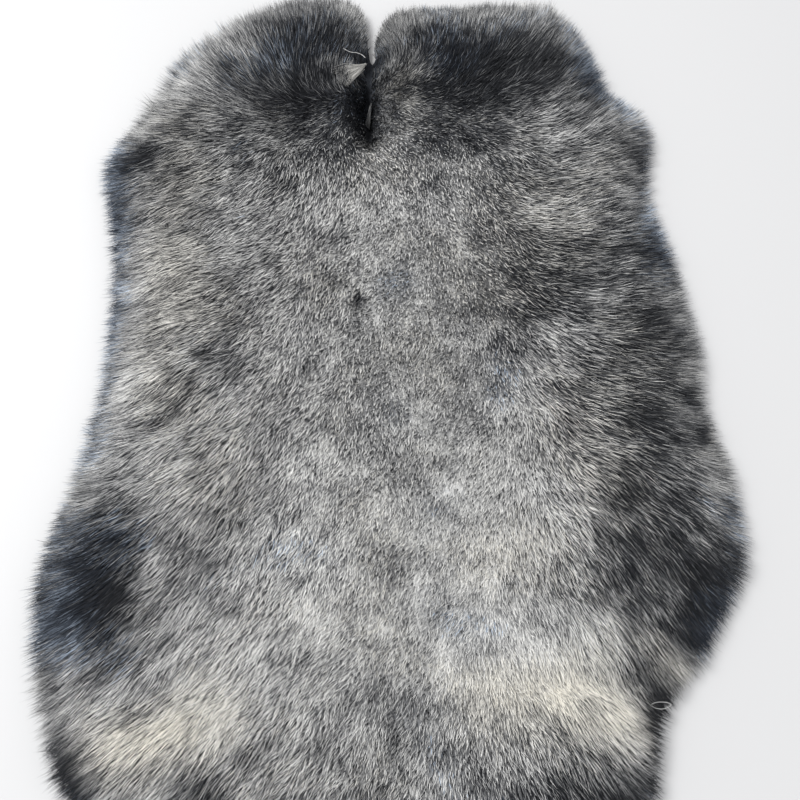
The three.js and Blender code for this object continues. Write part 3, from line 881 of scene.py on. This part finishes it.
    # Its place on a chart of tints across and the hair's length up, for a baked colour
    chart = nodes.new("ShaderNodeCombineXYZ")
    column = math_of("ADD", math_of("MULTIPLY", field("warmth"), WARMTH_STEPS), field("tint"))
    column = math_of("DIVIDE", column, WARMTH_STEPS + 1)
    put(chart.inputs["X"], math_of("ADD", column, math_of("MULTIPLY", field("side"), CHART_SIDE)))
    foot = math_of("MULTIPLY", math_of("SUBTRACT", 1.0, math_of("ABSOLUTE", field("side"))), CHART_FOOT)
    up_chart = math_of("MULTIPLY", field("along"), CHART_LENGTH)
    put(chart.inputs["Y"], math_of("ADD", up_chart, math_of("ADD", foot, CHART_START)))
    charted = keep(grown.outputs["Geometry"], "OFBake", chart.outputs["Vector"], "FLOAT2", "CORNER")
    clothed = nodes.new("GeometryNodeSetMaterial")
    put(clothed.inputs["Geometry"], charted)
    put(clothed.inputs["Material"], given.outputs["Material"])
    links.new(clothed.outputs["Geometry"], result.inputs["Hair"])
    return tree


HAIR_TREE = hair_tree()
SOCKETS = {s.name: s.identifier for s in HAIR_TREE.interface.items_tree if s.in_out == "INPUT"}
HAIR, tree, _, colour = hair_coloured("rabbit_hair", HAIR_ROUGHNESS, HAIR_SHINE)
link_all(tree, [
    (reader_of(tree, "tint"), "Fac", colour, "Tint"),
    (reader_of(tree, "along"), "Fac", colour, "Along"),
    (reader_of(tree, "warmth"), "Fac", colour, "Warmth"),
])
# Every kind of hair. Densities are locks for each square metre; lengths are those of hair of 10 mm.
# Darkest and lightest are how far a lock's tint may stand from the tone of its place.
KINDS = {
    "under_wool": {
        "Density": 265000.0, "Pale Share": 1.0, "Dark Share": 1.0, "Rim From": -0.01, "Rim To": 0.0,
        "Length": 0.0085, "Width": 0.00072, "Sunk": 0.3, "Scatter": 1.6, "Lift": 0.45,
        "Darkest": -0.35, "Lightest": 0.08, "Spread In Dark": 0.4, "Spread In Pale": 1.0, "Seed": 3,
    },
    "grey_hair": {
        "Density": 470000.0, "Pale Share": 1.0, "Dark Share": 1.0, "Rim From": -0.01, "Rim To": 0.0,
        "Length": 0.0102, "Width": 0.00044, "Sunk": 0.15, "Scatter": 1.0, "Lift": 0.0,
        "Darkest": -0.12, "Lightest": 0.18, "Spread In Dark": 0.6, "Spread In Pale": 1.0, "Seed": 11,
    },
    "silver_hair": {
        "Density": 600000.0, "Pale Share": 1.12, "Dark Share": 0.36, "Rim From": -0.01, "Rim To": 0.0,
        "Length": 0.0100, "Width": 0.00037, "Sunk": 0.05, "Scatter": 1.0, "Lift": 0.0,
        "Darkest": 0.04, "Lightest": 0.30, "Spread In Dark": 1.1, "Spread In Pale": 0.9, "Seed": 23,
    },
    "dark_hair": {
        "Density": 500000.0, "Pale Share": 0.8, "Dark Share": 1.0, "Rim From": -0.01, "Rim To": 0.0,
        "Length": 0.0102, "Width": 0.00041, "Sunk": 0.03, "Scatter": 1.0, "Lift": 0.02,
        "Darkest": -0.62, "Lightest": -0.12, "Spread In Dark": 0.5, "Spread In Pale": 1.0, "Seed": 37,
    },
    "rim_hair": {
        "Density": 2300000.0, "Pale Share": 1.0, "Dark Share": 1.0, "Rim From": 0.014, "Rim To": 0.004,
        "Length": 0.0106, "Width": 0.00033, "Sunk": 0.0, "Scatter": 1.1, "Lift": 0.0,
        "Darkest": -0.15, "Lightest": 0.25, "Spread In Dark": 0.8, "Spread In Pale": 1.0, "Seed": 51,
    },
}

for kind, values in KINDS.items():
    piece = new_object(kind, bed.data.copy())
    growth_of = piece.modifiers.new("growth", "NODES")
    growth_of.node_group = HAIR_TREE
    for label, value in values.items():
        growth_of[SOCKETS[label]] = value
    growth_of[SOCKETS["Material"]] = HAIR
    bpy.context.view_layer.update()
    grown = bpy.data.meshes.new_from_object(piece.evaluated_get(bpy.context.evaluated_depsgraph_get()))
    piece.modifiers.remove(growth_of)
    piece.data = grown
    grown.name = kind
    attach(piece, "root")

# Loose things among the hair: pale under-wool drawn to a point where the fur parts at the slit,
# one white hair lying beside it, and a shed hair curled in the nick of the right hind edge.
STRAND_SIDES = 5
PARTED_WOOL = [
    # tip, the line its roots stand on, how many hairs, how far its roots are strewn, all in mm; tints
    ((-14.2, 165.6), ((-28.5, 153.0), (-23.5, 144.5)), 180, 1.1, (0.46, 0.74)),
    ((-11.4, 138.8), ((-13.8, 127.0), (-12.2, 127.0)), 30, 0.5, (0.22, 0.44)),
]
PARTED_WIDTH, PARTED_SEED = 0.00036, 9
# At the root, the middle and the end: the height over the wool in metres, and the share of the width
PARTED_OVER = (0.0014, 0.0034, 0.0036)
PARTED_TAPER = (0.3, 0.5, 0.2)
PARTED_UNEVEN = (-0.0006, 0.0003)
TIP_STRAY, MIDDLE_STRAY = 0.3, 0.25
LOOSE_HAIRS = [
    # name, thickness in mm, course in mm
    ("white_hair", 0.24, [
        (-25.6, 169.9, 12), (-23.7, 168.9, 11.4), (-21.7, 168.6, 10.6),
        (-18.8, 169.0, 9.6), (-16.3, 168.3, 9), (-14.5, 166.4, 9),
    ]),
    ("shed_hair", 0.17, [
        (101.9, -140.9, 9), (101.3, -140.3, 9), (103.3, -139.4, 9), (105.7, -139.2, 9), (108.1, -139.5, 9),
        (109.3, -140.3, 9), (107.4, -141.4, 9), (105.1, -141.8, 9), (102.7, -141.3, 9), (101.7, -140.4, 9),
    ]),
]
LOOSE_TINT = 0.74
LOOSE_POINT = 0.35
PARTED_WARMTH, LOOSE_WARMTH = 0.67, 0.33
ABOVE_ALL, FLOOR_WOOL = 0.1, 0.002

bed_surface = BVHTree.FromObject(bed, bpy.context.evaluated_depsgraph_get())


def height_over(x, y):
    """How high the wool stands at a place."""
    struck = bed_surface.ray_cast(Vector((x, y, ABOVE_ALL)), Vector((0, 0, -1)))[0]
    return struck.z if struck else FLOOR_WOOL


def strand(corners, course, radii):
    """Adds a closed tube with pointed ends along a course to a list of corners; gives its faces."""
    first, faces = len(corners), []
    for i, here in enumerate(course):
        ahead = (course[min(i + 1, len(course) - 1)] - course[max(i - 1, 0)]).normalized()
        side = ahead.cross(Vector((0, 0, 1))).normalized()
        rise = side.cross(ahead)
        for k in range(STRAND_SIDES):
            turn = 2 * math.pi * k / STRAND_SIDES
            corners.append(here + (side * math.cos(turn) + rise * math.sin(turn)) * radii[i])
    for i in range(len(course) - 1):
        a = first + i * STRAND_SIDES
        for k in range(STRAND_SIDES):
            m = (k + 1) % STRAND_SIDES
            faces.append((a + k, a + m, a + m + STRAND_SIDES, a + k + STRAND_SIDES))
    last = first + (len(course) - 1) * STRAND_SIDES
    faces.append(tuple(first + k for k in reversed(range(STRAND_SIDES))))
    faces.append(tuple(last + k for k in range(STRAND_SIDES)))
    return faces


def strand_piece(name, strands, tints, warm, fading=False):
    """A piece made of strands; fading ones darken toward the root."""
    corners, faces, fields = [], [], {"tint": [], "along": [], "warmth": []}
    for (course, radii), tint in zip(strands, tints):
        faces += strand(corners, course, radii)
        count = len(course) * STRAND_SIDES
        fields["tint"] += [tint] * count
        for i in range(len(course)):
            fields["along"] += [i / (len(course) - 1) if fading else 1.0] * STRAND_SIDES
        fields["warmth"] += [warm] * count
    mesh = bpy.data.meshes.new(name)
    mesh.from_pydata([tuple(c) for c in corners], [], faces)
    for label, values in fields.items():
        store(mesh, label, "FLOAT", values)
    mesh.materials.append(HAIR)
    piece = new_object(name, mesh)
    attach(piece, "root")
    return piece


def curved(points, steps=5):
    """A smooth course through points in millimetres."""
    course = []
    for i in range(len(points) - 1):
        p0, p1, p2, p3 = (Vector(points[min(max(i + k, 0), len(points) - 1)]) for k in (-1, 0, 1, 2))
        for s in range(steps):
            t = s / steps
            bend, twist = 2 * p0 - 5 * p1 + 4 * p2 - p3, 3 * p1 - p0 - 3 * p2 + p3
            p = 0.5 * (2 * p1 + (p2 - p0) * t + bend * t**2 + twist * t**3)
            course.append(p / 1000)
    course.append(Vector(points[-1]) / 1000)
    return course


pick = random.Random(PARTED_SEED)
strands, tints = [], []
for tip, (root_a, root_b), count, strewn, wool_tints in PARTED_WOOL:
    for _ in range(count):
        share = pick.random()
        root = Vector(root_a) * (1 - share) + Vector(root_b) * share
        root += Vector((pick.gauss(0, strewn), pick.gauss(0, strewn)))
        end = Vector(tip) + Vector((pick.gauss(0, TIP_STRAY), pick.gauss(0, TIP_STRAY)))
        end = root + (end - root) * pick.uniform(0.75, 1.0)
        middle = (root + end) / 2 + Vector((pick.gauss(0, MIDDLE_STRAY), pick.gauss(0, MIDDLE_STRAY)))
        course = []
        for p, over in zip((root, middle, end), PARTED_OVER):
            x, y = p.x / 1000, p.y / 1000
            course.append(Vector((x, y, height_over(x, y) + over + pick.uniform(*PARTED_UNEVEN))))
        strands.append((course, [PARTED_WIDTH * share for share in PARTED_TAPER]))
        tints.append(pick.uniform(*wool_tints))
parted = strand_piece("parted_wool", strands, tints, PARTED_WARMTH, fading=True)

for name, thick, points in LOOSE_HAIRS:
    course = curved(points)
    radii = [thick / 2000] * len(course)
    radii[0] = radii[-1] = thick / 2000 * LOOSE_POINT
    strand_piece(name, [(course, radii)], [LOOSE_TINT], LOOSE_WARMTH)
